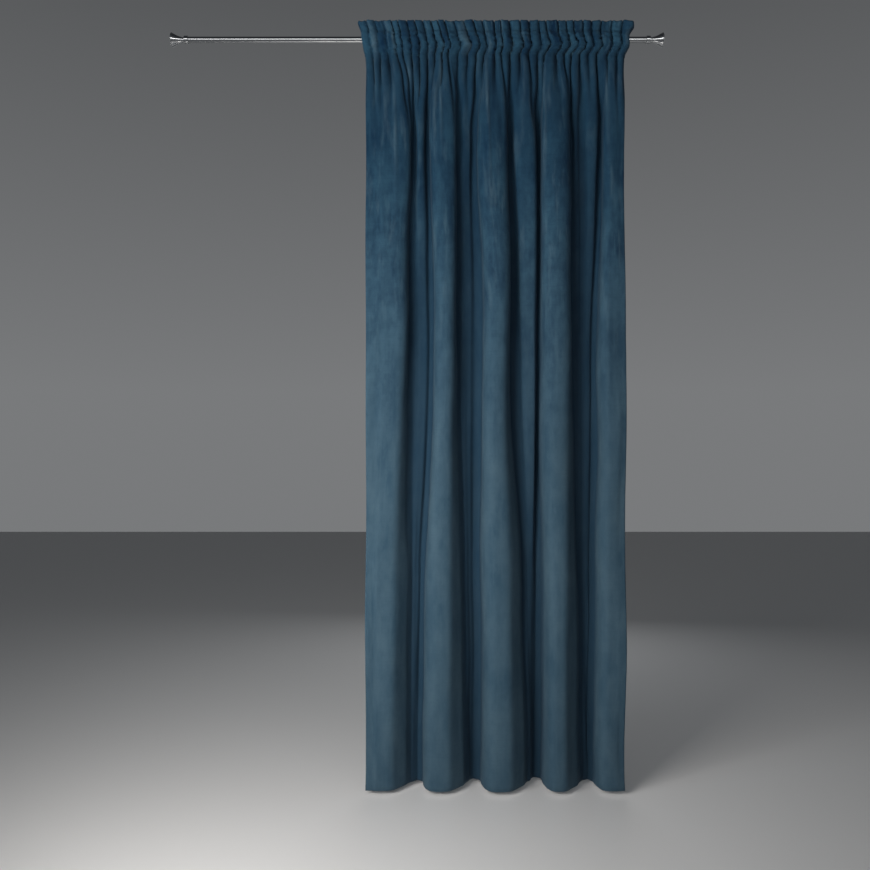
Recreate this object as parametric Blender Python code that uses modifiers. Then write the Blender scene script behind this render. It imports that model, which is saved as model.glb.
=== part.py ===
"""Velvet curtain panel gathered on a polished metal rod by its own rod pocket.

The origin is on the rod's axis, halfway along it. +X runs along the rod to the right, +Z is up
and the curtain's face looks towards -Y. Run it with: blender --background --python part.py
"""

import math

import bpy
import numpy as np

# ---------------------------------------------------------------- driving dimensions (metres)

ROD_LENGTH = 1.60
ROD_RADIUS = 0.011
TUBE_WALL = 0.001
JOINT_GAP = 0.0003
ROUND_STEPS = 40

CLOTH_THICKNESS = 0.0015
BODY_LEFT = -0.177
BODY_RIGHT = 0.721
HEM_Z = -2.604

# Folds seen from above, left to right, at three heights. left and right are a fold's two flanks,
# crest_at is where between them its crest stands (0 left, 1 right) and crest how far forward it
# is. floor_x and floor say where the hollow to its right lies, and how far back.
HIGH_FOLDS = [
    # left, right, crest_at, crest, floor_x, floor
    (-0.177, -0.021, 0.60, 0.030, -0.012, 0.022),
    (-0.004, 0.023, 0.30, 0.008, 0.033, 0.030),
    (0.043, 0.136, 0.42, 0.034, 0.143, 0.024),
    (0.157, 0.188, 0.75, -0.016, 0.198, 0.034),
    (0.208, 0.314, 0.45, 0.036, 0.322, 0.028),
    (0.336, 0.418, 0.70, 0.010, 0.426, 0.032),
    (0.434, 0.530, 0.42, 0.034, 0.537, 0.028),
    (0.546, 0.563, 0.50, -0.020, 0.580, 0.030),
    (0.596, 0.638, 0.75, -0.004, 0.645, 0.036),
    (0.652, 0.718, 0.40, 0.030, 0.718, 0.000),
]
MIDDLE_FOLDS = [
    (-0.177, -0.034, 0.70, 0.045, -0.020, 0.028),
    (-0.002, 0.038, 0.50, -0.025, 0.050, 0.034),
    (0.062, 0.133, 0.50, 0.052, 0.146, 0.030),
    (0.160, 0.192, 0.40, -0.030, 0.212, 0.038),
    (0.232, 0.318, 0.52, 0.055, 0.328, 0.034),
    (0.362, 0.420, 0.80, 0.000, 0.427, 0.038),
    (0.434, 0.533, 0.50, 0.052, 0.545, 0.028),
    (0.554, 0.574, 0.50, -0.028, 0.584, 0.034),
    (0.594, 0.616, 0.50, -0.030, 0.626, 0.038),
    (0.638, 0.718, 0.35, 0.046, 0.718, 0.000),
]
HEM_FOLDS = [
    (-0.177, -0.050, 0.42, 0.050, -0.024, 0.026),
    (-0.018, -0.008, 0.50, -0.034, 0.002, 0.042),
    (0.020, 0.150, 0.42, 0.058, 0.176, 0.028),
    (0.182, 0.190, 0.50, -0.046, 0.203, 0.056),
    (0.226, 0.362, 0.38, 0.060, 0.388, 0.030),
    (0.398, 0.408, 0.50, -0.052, 0.425, 0.068),
    (0.444, 0.548, 0.40, 0.058, 0.573, 0.028),
    (0.578, 0.584, 0.50, -0.040, 0.590, 0.046),
    (0.594, 0.599, 0.50, -0.050, 0.604, 0.052),
    (0.624, 0.718, 0.45, 0.052, 0.718, 0.000),
]

# How steeply the left and the right flank of a deep fold turn at each height, in degrees.
HIGH_STEEP = (95, 94)
MIDDLE_STEEP = (88, 86)
HEM_STEEP = (80, 46)
BEND_PULL = 0.60
SHALLOW = 0.014
EDGE_BACK = 0.008

# Gathers along the rod, left to right, as unevenly as they fell: width on the rod in millimetres,
# and the share of the full depth each has in the frill and over the rod.
GATHERS = [
    # width, frill, pocket
    (28, 0.8, 0.30), (28, 1.0, 0.35), (28, 0.4, 0.30), (31, 0.5, 0.35), (21, 1.0, 0.60),
    (31, 1.0, 0.80), (28, 1.0, 0.90), (28, 1.0, 1.00), (28, 0.9, 0.80), (25, 1.0, 1.00),
    (21, 1.0, 1.00), (35, 0.9, 1.00), (35, 0.5, 1.00), (31, 1.0, 1.00), (28, 1.0, 1.00),
    (38, 0.6, 0.80), (21, 1.0, 1.00), (31, 1.0, 1.00), (38, 0.8, 1.00), (28, 1.0, 1.00),
    (35, 1.0, 0.90), (25, 1.0, 1.00), (42, 0.5, 0.80), (28, 1.0, 1.00), (25, 1.0, 1.00),
    (31, 0.9, 1.00), (28, 1.0, 1.00), (31, 1.0, 1.00), (38, 0.4, 0.70), (35, 0.8, 0.90),
    (28, 1.0, 0.90),
]
GATHERS_IN_FOLD = (6, 2, 4, 2, 4, 3, 4, 1, 2, 3)
COLUMNS_A_GATHER = 4
GATHER_DEPTH = 0.0174

# Rows of the panel from the hem up the front to the pocket. gather is the share of the full
# gather depth; high, middle and hem are the shares of the three fold tables.
FRONT_ROWS = [
    # z, middle_y, gather, high, middle, hem
    (HEM_Z, 0.0, 0.00, 0.00, 0.00, 1.00),
    (-2.05, 0.0, 0.00, 0.00, 0.16, 0.84),
    (-1.55, 0.0, 0.00, 0.00, 0.60, 0.40),
    (-1.05, 0.0, 0.00, 0.03, 0.92, 0.05),
    (-0.70, 0.0, 0.00, 0.30, 0.70, 0.00),
    (-0.42, -0.0005, 0.12, 0.80, 0.20, 0.00),
    (-0.24, -0.0040, 0.58, 0.80, 0.00, 0.00),
    (-0.12, -0.0085, 0.95, 0.28, 0.00, 0.00),
]

# Rows of the heading: up the front of the pocket, over the frill's turned top, and down the
# back of the pocket to its raw edge. wide is the width there against the body's.
HEADING_ROWS = [
    # z, middle_y, gather, wide
    (-0.054, -0.0110, 0.98, 1.010),
    (-0.026, -0.0225, 0.93, 1.026),
    (0.006, -0.0255, 0.96, 1.036),
    (0.0225, -0.0145, 0.96, 1.040),
    (0.0545, -0.0165, 1.00, 1.064),
    (0.0575, -0.0139, 1.00, 1.064),
    (0.0545, -0.0113, 1.00, 1.064),
    (0.0225, -0.0095, 0.96, 1.040),
    (0.010, 0.0260, 0.80, 1.036),
    (-0.026, 0.0170, 0.85, 1.026),
    (-0.054, -0.0064, 0.98, 1.010),
    (-0.061, -0.0062, 0.98, 1.008),
]
FRILL_FROM = 0.0225

# Turned profile of a finial, from inside the tube to the nose: distance past the tube's end and
# radius. The collar sits on the spigot between the tube and the neck.
COLLAR_LENGTH = 0.014
COLLAR_RADIUS = 0.014
SPIGOT_DEPTH = 0.030
NECK_RADIUS = 0.0088
NECK_LENGTH = 0.008
HEAD_LENGTH = 0.036
HEAD_ROOT_RADIUS = 0.0105
HEAD_RIM_RADIUS = 0.0245
HEAD_RIM_THICKNESS = 0.004
NOSE_RISE = 0.0035

VELVET_BLUE = (0.036, 0.092, 0.142, 1.0)
CHROME_GREY = (0.62, 0.63, 0.64, 1.0)


# ---------------------------------------------------------------- scene and materials


def clear_scene():
    for obj in list(bpy.data.objects):
        bpy.data.objects.remove(obj, do_unlink=True)


def make_collection(name):
    collection = bpy.data.collections.new(name)
    bpy.context.scene.collection.children.link(collection)
    return collection


def make_material(name, colour, roughness, metallic):
    material = bpy.data.materials.new(name)
    material.use_nodes = True
    shader = material.node_tree.nodes["Principled BSDF"]
    shader.inputs["Base Color"].default_value = colour
    shader.inputs["Roughness"].default_value = roughness
    shader.inputs["Metallic"].default_value = metallic
    material.diffuse_color = colour
    return material


def file_object(obj, name, collection, material):
    """Names an object, moves it to the curtain's collection and gives it its material."""
    obj.name = name
    obj.data.name = name
    for holder in list(obj.users_collection):
        holder.objects.unlink(obj)
    collection.objects.link(obj)
    obj.data.materials.clear()
    obj.data.materials.append(material)


# ---------------------------------------------------------------- the form of the hanging cloth


def gather_slits():
    """Where the slits between the gathers stand along the rod, with both edges of the cloth."""
    edges = np.concatenate([[0.0], np.cumsum([row[0] for row in GATHERS])])
    return BODY_LEFT + edges / edges[-1] * (BODY_RIGHT - BODY_LEFT)


def column_places():
    """Columns of the cloth, named by their place on the rod: a few to each gather."""
    columns = len(GATHERS) * COLUMNS_A_GATHER
    counted = np.arange(columns + 1) / COLUMNS_A_GATHER
    return np.interp(counted, np.arange(len(GATHERS) + 1), gather_slits())


def fold_places():
    """Places on the rod whose cloth falls into each flank, crest and hollow, left to right."""
    ends = gather_slits()[np.concatenate([[0], np.cumsum(GATHERS_IN_FOLD)])]
    quarters = np.array([0.0, 0.25, 0.5, 0.75])
    marks = (ends[:-1, None] + np.diff(ends)[:, None] * quarters).reshape(-1)
    return np.concatenate([[BODY_LEFT], marks[2:-1], [BODY_RIGHT]])


def bend(start, end, start_angle, end_angle, share):
    """Points along one smooth bend of cloth. Angles turn from +X towards +Y, in radians."""
    start, end = np.array(start), np.array(end)
    reach = BEND_PULL * np.abs(end - start)
    first = np.array([math.cos(start_angle), math.sin(start_angle)])
    second = np.array([math.cos(end_angle), math.sin(end_angle)])
    knots = [
        start,
        start + first * (reach @ np.abs(first)),
        end - second * (reach @ np.abs(second)),
        end,
    ]
    weights = [(1 - share) ** 3, 3 * share * (1 - share) ** 2, 3 * share**2 * (1 - share), share**3]
    return sum(np.outer(weight, knot) for weight, knot in zip(weights, knots))


def fullness(depth):
    """How far a fold this deep turns to its full steepness."""
    return 1 - math.exp(-max(depth, 0.0) / SHALLOW)


def fold_knots(table, steep):
    """Left flank, crest, right flank and hollow of each fold in turn: x, y and angle."""
    x, y, full, shares = [], [], [], []
    floor_before = EDGE_BACK - table[0][3]
    for number, (left, right, crest_at, crest, floor_x, floor) in enumerate(table):
        first, last = number == 0, number == len(table) - 1
        floor_after = EDGE_BACK - crest if last else floor
        left_share = 0.0 if first else fullness(crest + floor_before)
        right_share = 0.0 if last else fullness(crest + floor_after)
        crest_share = (max if first or last else min)(left_share, right_share)
        if not first:
            shares[-1] = min(shares[-2], left_share)
        x += [left, left + crest_at * (right - left), right, floor_x]
        y += [(floor_before - crest) / 2, -crest, (floor_after - crest) / 2, floor]
        full += [-steep[0], 0.0, steep[1], 0.0]
        shares += [left_share, crest_share, right_share, 0.0]
        floor_before = floor
    x, y, share = np.array(x[:-1]), np.array(y[:-1]), np.array(shares[:-1])
    chord = np.degrees(np.arctan2(np.gradient(y), np.gradient(x)))
    angle = np.radians(np.array(full[:-1]) * share + chord * (1 - share))
    return list(zip(x, y, angle))


def folded_line(places, table, steep):
    """The cloth's line seen from above, folded as one of the tables says."""
    knots = fold_knots(table, steep)
    marks = fold_places()
    line = np.zeros((len(places), 2))
    for index in range(len(knots) - 1):
        inside = (places >= marks[index]) & (places <= marks[index + 1])
        share = (places[inside] - marks[index]) / (marks[index + 1] - marks[index])
        (x0, y0, a0), (x1, y1, a1) = knots[index], knots[index + 1]
        line[inside] = bend((x0, y0), (x1, y1), a0, a1, share)
    return line


def gather_wave(places, frill):
    """Gathers along the rod: 1.25 in a sharp slit, -0.75 on a round crest, uneven in depth."""
    slits = gather_slits()
    turn = 2 * math.pi * np.interp(places, slits, np.arange(len(slits)))
    middles = (slits[:-1] + slits[1:]) / 2
    depth = np.interp(places, middles, [row[1] if frill else row[2] for row in GATHERS])
    return depth * (np.cos(turn) + 0.25 * np.cos(2 * turn)) * GATHER_DEPTH / 2


def outward(line):
    """Unit normals of a line seen from above, towards the back of the curtain."""
    slope = np.gradient(line, axis=0)
    normal = np.stack([-slope[:, 1], slope[:, 0]], axis=1)
    return normal / np.maximum(np.linalg.norm(normal, axis=1, keepdims=True), 1e-9)


def front_row(places, z, middle_y, gather, high, middle, hem):
    straight = np.stack([places, np.full(len(places), middle_y)], axis=1)
    line = (1 - high - middle - hem) * straight
    line = line + high * folded_line(places, HIGH_FOLDS, HIGH_STEEP)
    line = line + middle * folded_line(places, MIDDLE_FOLDS, MIDDLE_STEEP)
    line = line + hem * folded_line(places, HEM_FOLDS, HEM_STEEP)
    line = line + outward(line) * (gather * gather_wave(places, False))[:, None]
    return np.column_stack([line, np.full(len(places), z)])


def heading_row(places, z, middle_y, gather, wide):
    centre = (BODY_LEFT + BODY_RIGHT) / 2
    x = centre + (places - centre) * wide
    y = middle_y + gather * gather_wave(places, z >= FRILL_FROM)
    return np.column_stack([x, y, np.full(len(places), z)])


def panel_rows():
    places = column_places()
    rows = [front_row(places, *row) for row in FRONT_ROWS]
    rows += [heading_row(places, *row) for row in HEADING_ROWS]
    return np.array(rows)


# ---------------------------------------------------------------- the pieces


def build_panel(collection, material):
    """One sheet: hem, front, frill and the back of the rod pocket in a single cloth."""
    rows = panel_rows()
    bpy.ops.mesh.primitive_grid_add(
        x_subdivisions=rows.shape[1] - 1, y_subdivisions=rows.shape[0] - 1, size=1
    )
    panel = bpy.context.object
    panel.data.vertices.foreach_set("co", rows.reshape(-1).astype(np.float32))
    panel.data.update()
    file_object(panel, "velvet_panel", collection, material)
    solidify = panel.modifiers.new("cloth thickness", "SOLIDIFY")
    solidify.thickness = CLOTH_THICKNESS
    solidify.offset = 0.0
    panel.data.shade_smooth()
    for row in rows:
        length = np.linalg.norm(np.diff(row, axis=0), axis=1).sum()
        print(f"z {row[0, 2]:7.3f}: cloth {length:.3f} m round its folds")


def build_tube(collection, material):
    bpy.ops.mesh.primitive_cylinder_add(
        vertices=ROUND_STEPS,
        radius=ROD_RADIUS,
        depth=ROD_LENGTH,
        end_fill_type="NOTHING",
        rotation=(0, math.pi / 2, 0),
    )
    tube = bpy.context.object
    file_object(tube, "rod_tube", collection, material)
    wall = tube.modifiers.new("tube wall", "SOLIDIFY")
    wall.thickness = TUBE_WALL
    wall.offset = -1.0
    tube.data.shade_smooth()
    tube.data.set_sharp_from_angle(angle=math.radians(35))


def turned_piece(name, profile, side, collection, material):
    """A lathe-turned piece. profile runs from nose to root as radius and distance past the tube."""
    mesh = bpy.data.meshes.new(name)
    points = [(radius, 0.0, past) for radius, past in profile]
    mesh.from_pydata(points, [(i, i + 1) for i in range(len(points) - 1)], [])
    piece = bpy.data.objects.new(name, mesh)
    piece.location.x = side * ROD_LENGTH / 2
    piece.rotation_euler.y = side * math.pi / 2
    collection.objects.link(piece)
    mesh.materials.append(material)
    turn = piece.modifiers.new("turned on a lathe", "SCREW")
    turn.steps = ROUND_STEPS
    turn.render_steps = ROUND_STEPS
    turn.use_merge_vertices = True
    turn.merge_threshold = 0.00005
    return piece


def collar_profile():
    chamfer = 0.0012
    inner = ROD_RADIUS - TUBE_WALL
    near = JOINT_GAP
    far = JOINT_GAP + COLLAR_LENGTH
    return [
        (inner, far),
        (COLLAR_RADIUS - chamfer, far),
        (COLLAR_RADIUS, far - chamfer),
        (COLLAR_RADIUS, near + chamfer),
        (COLLAR_RADIUS - chamfer, near),
        (inner, near),
        (inner, far),
    ]


def head_flare(share):
    """Radius of the trumpet head, share 0 at its root and 1 at its rim."""
    return HEAD_ROOT_RADIUS + (HEAD_RIM_RADIUS - HEAD_ROOT_RADIUS) * share**1.7


def finial_profile():
    spigot = ROD_RADIUS - TUBE_WALL - JOINT_GAP
    neck_start = COLLAR_LENGTH + 2 * JOINT_GAP
    head_start = neck_start + NECK_LENGTH
    rim_start = head_start + HEAD_LENGTH - HEAD_RIM_THICKNESS
    nose = head_start + HEAD_LENGTH + NOSE_RISE
    profile = []
    for step in range(7):
        angle = math.radians(90 * step / 6)
        reach = HEAD_RIM_RADIUS - HEAD_RIM_THICKNESS / 2
        profile.append((reach * math.sin(angle), nose - NOSE_RISE * (1 - math.cos(angle))))
    for step in range(1, 6):
        angle = math.radians(180 * step / 6)
        radius = HEAD_RIM_RADIUS - HEAD_RIM_THICKNESS / 2 * (1 - math.sin(angle))
        profile.append((radius, rim_start + HEAD_RIM_THICKNESS / 2 * (1 + math.cos(angle))))
    for step in range(8, -1, -1):
        share = step / 8
        profile.append((head_flare(share) - 0.002 * share**8, head_start + share * (rim_start - head_start)))
    profile += [
        (NECK_RADIUS, head_start),
        (NECK_RADIUS, neck_start),
        (spigot, neck_start),
        (spigot, 0.001 - SPIGOT_DEPTH),
        (spigot - 0.001, -SPIGOT_DEPTH),
        (0.0, -SPIGOT_DEPTH),
    ]
    return profile


def build_rod_end(word, side, collection, material):
    for name, profile in (("collar", collar_profile()), ("finial", finial_profile())):
        piece = turned_piece(f"{name}_{word}", profile, side, collection, material)
        piece.data.update()


def main():
    clear_scene()
    collection = make_collection("velvet_curtain_on_rod")
    velvet = make_material("velvet", VELVET_BLUE, 0.9, 0.0)
    chrome = make_material("polished_metal", CHROME_GREY, 0.18, 1.0)
    build_panel(collection, velvet)
    build_tube(collection, chrome)
    build_rod_end("right", 1, collection, chrome)
    build_rod_end("left", -1, collection, chrome)


main()
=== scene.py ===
# %% [markdown]
# # A velvet curtain gathered on its rod
#
# This lesson dresses a plain model of one velvet curtain panel. The panel hangs from a polished
# metal rod by its own rod pocket: the cloth is turned over at the top, two rows of stitches
# make a tunnel for the rod, and what stands above the tunnel is a frill. The plain model fixes
# every size. Here the cloth gets its folds in full detail, its pile, its hems and its thread.

import math

import bmesh
import bpy
import numpy as np
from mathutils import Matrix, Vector


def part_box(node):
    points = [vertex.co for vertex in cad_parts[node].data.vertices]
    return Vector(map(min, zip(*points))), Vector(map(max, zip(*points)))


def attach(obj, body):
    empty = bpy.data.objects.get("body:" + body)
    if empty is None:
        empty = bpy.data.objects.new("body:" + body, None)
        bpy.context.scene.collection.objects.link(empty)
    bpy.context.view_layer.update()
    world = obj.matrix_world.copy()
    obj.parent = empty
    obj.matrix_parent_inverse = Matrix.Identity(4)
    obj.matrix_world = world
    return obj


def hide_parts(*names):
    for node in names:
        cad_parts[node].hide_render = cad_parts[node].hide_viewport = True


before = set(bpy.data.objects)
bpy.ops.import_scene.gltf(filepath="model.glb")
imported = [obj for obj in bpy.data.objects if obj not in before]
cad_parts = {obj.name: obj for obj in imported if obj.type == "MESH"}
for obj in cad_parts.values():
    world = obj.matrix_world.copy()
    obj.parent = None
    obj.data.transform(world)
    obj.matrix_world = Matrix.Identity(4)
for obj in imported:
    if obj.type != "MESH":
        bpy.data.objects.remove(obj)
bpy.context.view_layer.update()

# %% [markdown]
# ## Looking at it
#
# The camera stands in front of the curtain at half its height and looks level at it, so that
# the folds stay upright. It is set first, because everything after it is judged through it.

# %% Camera
VIEW_DISTANCE = 3.0
VIEW_LENS = 35.5
VIEW_X = 0.062
VIEW_Z = -1.381

camera_data = bpy.data.cameras.new("camera")
camera_data.lens = VIEW_LENS
camera_data.sensor_width = 36.0
camera = bpy.data.objects.new("camera", camera_data)
camera.location = (VIEW_X, -VIEW_DISTANCE, VIEW_Z)
camera.rotation_euler = (math.pi / 2, 0, 0)
bpy.context.scene.collection.objects.link(camera)
bpy.context.scene.camera = camera
bpy.context.scene.view_settings.view_transform = "Standard"
print("camera stands", VIEW_DISTANCE, "m in front")

# %% [markdown]
# ## Small helpers
#
# An operator acts on whatever is selected, so each step starts from a clean selection. A
# finished piece is told which body it rides on.

# %% Helpers for every piece


def deselect_all():
    if bpy.context.mode != "OBJECT":
        bpy.ops.object.mode_set(mode="OBJECT")
    bpy.ops.object.select_all(action="DESELECT")


def take(obj):
    """Selects one object alone and makes it active."""
    deselect_all()
    obj.select_set(True)
    bpy.context.view_layer.objects.active = obj


def apply_modifiers(obj):
    take(obj)
    for modifier in list(obj.modifiers):
        bpy.ops.object.modifier_apply(modifier=modifier.name)


def settle(obj):
    """Puts the object's place and turn into its mesh."""
    take(obj)
    bpy.ops.object.transform_apply(location=True, rotation=True, scale=True)


def hand_over(obj, name, slot, *nodes):
    obj.name = name
    obj.data.name = name
    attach(obj, "root")
    if nodes:
        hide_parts(*nodes)
    print(name, "has", len(obj.data.polygons), "faces")


# %% [markdown]
# ## How the cloth falls
#
# Seen from above, a hanging curtain is one long line that bends forwards and back. Gathers on
# the rod are small and many. A hand's breadth lower they run together into ten folds, of which
# five are wide. Lower still the narrow ones sink back into the hollows, and at the hem only the
# five wide ones stand out. One short table describes the folds at each of these three heights.
# All lengths in the tables are millimetres.

# %% Folds, left to right, at three heights
HIGH_FOLDS = [
    # left, right, crest_at, crest, floor_x, floor: the two flanks, where between them the crest
    # stands (0 left, 1 right), how far forward it is, and where the hollow to its right lies
    # and how far back
    (-177, -21, 0.60, 30, -12, 22),
    (-4, 23, 0.30, 8, 33, 30),
    (43, 136, 0.42, 34, 143, 24),
    (157, 188, 0.75, -16, 198, 34),
    (208, 314, 0.45, 36, 322, 28),
    (336, 418, 0.70, 10, 426, 32),
    (434, 530, 0.42, 34, 537, 28),
    (546, 563, 0.50, -20, 580, 30),
    (596, 638, 0.75, -4, 645, 36),
    (652, 718, 0.40, 30, 718, 0),
]
MIDDLE_FOLDS = [
    (-177, -34, 0.70, 45, -20, 28),
    (-2, 38, 0.50, -25, 50, 34),
    (62, 133, 0.50, 52, 146, 30),
    (160, 192, 0.40, -30, 212, 38),
    (232, 318, 0.52, 55, 328, 34),
    (362, 420, 0.80, 0, 427, 38),
    (434, 533, 0.50, 52, 545, 28),
    (554, 574, 0.50, -28, 584, 34),
    (594, 616, 0.50, -30, 626, 38),
    (638, 718, 0.35, 46, 718, 0),
]
HEM_FOLDS = [
    (-177, -50, 0.42, 50, -24, 26),
    (-18, -8, 0.50, -34, 2, 42),
    (20, 150, 0.42, 58, 176, 28),
    (182, 190, 0.50, -46, 203, 56),
    (226, 362, 0.38, 60, 388, 30),
    (398, 408, 0.50, -52, 425, 68),
    (444, 548, 0.40, 58, 573, 28),
    (578, 584, 0.50, -40, 590, 46),
    (594, 599, 0.50, -50, 604, 52),
    (624, 718, 0.45, 52, 718, 0),
]
FLANK_STEEP = {"high": (95, 94), "middle": (88, 86), "hem": (80, 46)}
print(len(HIGH_FOLDS), "folds high up, 5 of them down to the hem")

# %% [markdown]
# A maker threads the rod through its pocket and pushes the cloth together by hand, so no two
# gathers are the same. The table lists each one as it fell. The first four at the left were
# hardly pushed, and stay almost flat over the rod.

# %% Gathers on the rod, left to right
GATHERS = [
    # width, sway, run, frill, pocket: width on the rod, how far it is pushed to the right
    # across the rod's front, how far down it can be followed, and its share of the full depth
    # in the frill and over the rod
    (28, 0, 160, 0.8, 0.30), (28, 0, 150, 1.1, 0.35), (28, 0, 130, 0.4, 0.30),
    (31, 2, 190, 0.5, 0.35), (21, 2, 200, 1.2, 0.60), (31, 3, 260, 1.1, 0.80),
    (28, 4, 200, 1.0, 0.90), (28, 6, 260, 1.2, 1.00),
    (28, 6, 150, 0.9, 0.80), (25, 9, 170, 1.1, 1.10), (21, 11, 120, 1.2, 1.00),
    (35, 8, 240, 0.9, 1.10),
    (35, 13, 150, 0.5, 1.00), (31, 15, 240, 1.3, 1.20),
    (28, 12, 220, 1.0, 1.00), (38, 6, 120, 0.6, 0.80), (21, 4, 170, 1.2, 1.20),
    (31, 8, 240, 1.1, 1.10),
    (38, 11, 150, 0.8, 1.00), (28, 9, 160, 1.3, 1.10), (35, 6, 240, 1.0, 0.90),
    (25, 13, 130, 1.2, 1.10), (42, 16, 110, 0.5, 0.80), (28, 12, 130, 1.2, 1.20),
    (25, 17, 240, 1.1, 1.10),
    (31, 14, 260, 0.9, 1.10),
    (28, 12, 150, 1.2, 1.00), (31, 10, 260, 1.0, 1.10),
    (38, 9, 120, 0.4, 0.70), (35, 8, 120, 0.8, 0.90), (28, 6, 120, 1.2, 0.90),
]
GATHERS_IN_FOLD = [6, 2, 4, 2, 4, 3, 4, 1, 2, 3]
GATHER_DEPTH = 21.0
GATHER_LEAN = 0.14
FACE_FLAT = 1.9
FRILL_FLAT = 4.0
FRILL_LIFT = 4.5
print(len(GATHERS), "gathers, shared out over the folds as", GATHERS_IN_FOLD)

# %% [markdown]
# ## From hem to frill and back down
#
# One strip of cloth runs from the hem up the front, over the frill and down behind the rod.
# Each row below is a station on that way, with how much of the gathers and of each of the
# three fold tables shows there. The cloth between stations follows a smooth curve.

# %% Stations along the cloth
HEM_Z = -2604
STATIONS = [
    # z, middle_y, gather, narrow, high, middle, hem, wide, sway
    (HEM_Z, 0, 0.00, 0.0, 0.00, 0.00, 1.00, 1.000, 0.0),
    (-2450, 0, 0.00, 0.0, 0.00, 0.01, 0.99, 1.000, 0.0),
    (-2250, 0, 0.00, 0.0, 0.00, 0.06, 0.94, 1.000, 0.0),
    (-2050, 0, 0.00, 0.0, 0.00, 0.16, 0.84, 1.000, 0.0),
    (-1800, 0, 0.00, 0.0, 0.00, 0.34, 0.66, 1.000, 0.0),
    (-1550, 0, 0.00, 0.0, 0.00, 0.60, 0.40, 1.000, 0.0),
    (-1300, 0, 0.00, 0.0, 0.00, 0.82, 0.18, 1.000, 0.0),
    (-1050, 0, 0.00, 0.0, 0.03, 0.92, 0.05, 1.000, 0.0),
    (-800, 0, 0.00, 0.0, 0.18, 0.82, 0.00, 1.000, 0.0),
    (-620, 0, 0.00, 0.1, 0.42, 0.58, 0.00, 1.000, 0.0),
    (-480, 0, 0.04, 0.2, 0.70, 0.30, 0.00, 1.000, 0.0),
    (-360, -1, 0.20, 0.4, 0.88, 0.10, 0.00, 1.000, 0.0),
    (-280, -3, 0.45, 0.5, 0.88, 0.00, 0.00, 1.000, 0.0),
    (-210, -5, 0.70, 0.6, 0.70, 0.00, 0.00, 1.000, 0.0),
    (-150, -7, 0.90, 0.7, 0.45, 0.00, 0.00, 1.001, 0.0),
    (-105, -9, 1.00, 0.75, 0.22, 0.00, 0.00, 1.003, 0.0),
    (-75, -10, 1.00, 0.78, 0.08, 0.00, 0.00, 1.006, 0.0),
    (-54, -11, 1.00, 0.8, 0.00, 0.00, 0.00, 1.010, 0.0),
    (-42, -16, 0.96, 0.8, 0.00, 0.00, 0.00, 1.018, 0.55),
    (-26, -22.5, 0.96, 0.8, 0.00, 0.00, 0.00, 1.026, 1.15),
    (-8, -25.5, 0.96, 0.8, 0.00, 0.00, 0.00, 1.032, 0.60),
    (8, -23.5, 0.96, 0.8, 0.00, 0.00, 0.00, 1.037, 0.18),
    (17, -18.5, 0.95, 0.8, 0.00, 0.00, 0.00, 1.039, 0.05),
    (22.5, -14, 0.97, 0.8, 0.00, 0.00, 0.00, 1.040, 0.0),
    (30, -16, 0.86, 0.72, 0.00, 0.00, 0.00, 1.046, -0.15),
    (42, -16.5, 0.82, 0.72, 0.00, 0.00, 0.00, 1.057, -0.38),
    (54.5, -16.5, 0.82, 0.72, 0.00, 0.00, 0.00, 1.064, -0.6),
    (57, -14.4, 0.82, 0.72, 0.00, 0.00, 0.00, 1.064, -0.62),
    (54.5, -12.3, 0.82, 0.72, 0.00, 0.00, 0.00, 1.064, -0.6),
    (42, -12.3, 0.82, 0.72, 0.00, 0.00, 0.00, 1.057, -0.38),
    (30, -12, 0.86, 0.72, 0.00, 0.00, 0.00, 1.046, -0.15),
    (22.5, -11, 0.97, 0.8, 0.00, 0.00, 0.00, 1.040, 0.0),
    (19, 4, 0.92, 0.8, 0.00, 0.00, 0.00, 1.039, 0.0),
    (8, 22.5, 0.85, 0.8, 0.00, 0.00, 0.00, 1.036, 0.3),
    (-8, 26, 0.85, 0.8, 0.00, 0.00, 0.00, 1.032, 0.4),
    (-26, 18, 0.88, 0.8, 0.00, 0.00, 0.00, 1.026, 0.3),
    (-42, 3, 0.95, 0.8, 0.00, 0.00, 0.00, 1.018, 0.1),
    (-54, -6.8, 1.00, 0.8, 0.00, 0.00, 0.00, 1.010, 0.0),
    (-61, -6.6, 1.00, 0.8, 0.02, 0.00, 0.00, 1.008, 0.0),
]
LOWER_STITCHES = 17
UPPER_STITCHES = 23
BACK_UPPER_STITCHES = 31
BACK_LOWER_STITCHES = 37

stations = np.array(STATIONS)
steps = np.hypot(np.diff(stations[:, 0]), np.diff(stations[:, 1]))
way = np.concatenate([[0.0], np.cumsum(steps)])
print("from hem to the pocket's edge:", round(float(way[-1]) / 1000, 3), "m of cloth")

# %% [markdown]
# A smooth curve through a table's values needs a slope at each station. The slope is taken
# from the stations on both sides, and each stretch is then a cubic curve.

# %% Smooth reading of the table


def read_stations(distance):
    """The station values at each distance along the cloth, on a smooth curve through them."""
    slopes = np.gradient(stations, way, axis=0)
    index = np.clip(np.searchsorted(way, distance, side="right") - 1, 0, len(way) - 2)
    span = (way[index + 1] - way[index])[:, None]
    share = ((distance - way[index]) / span[:, 0])[:, None]
    start, end = stations[index], stations[index + 1]
    rise, fall = slopes[index] * span, slopes[index + 1] * span
    curve = (2 * share**3 - 3 * share**2 + 1) * start + (share**3 - 2 * share**2 + share) * rise
    return curve + (3 * share**2 - 2 * share**3) * end + (share**3 - share**2) * fall


halfway_row = read_stations(np.array([way[-1] / 2]))[0]
print("halfway along the cloth it hangs at z", round(float(halfway_row[0])), "mm")

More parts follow.
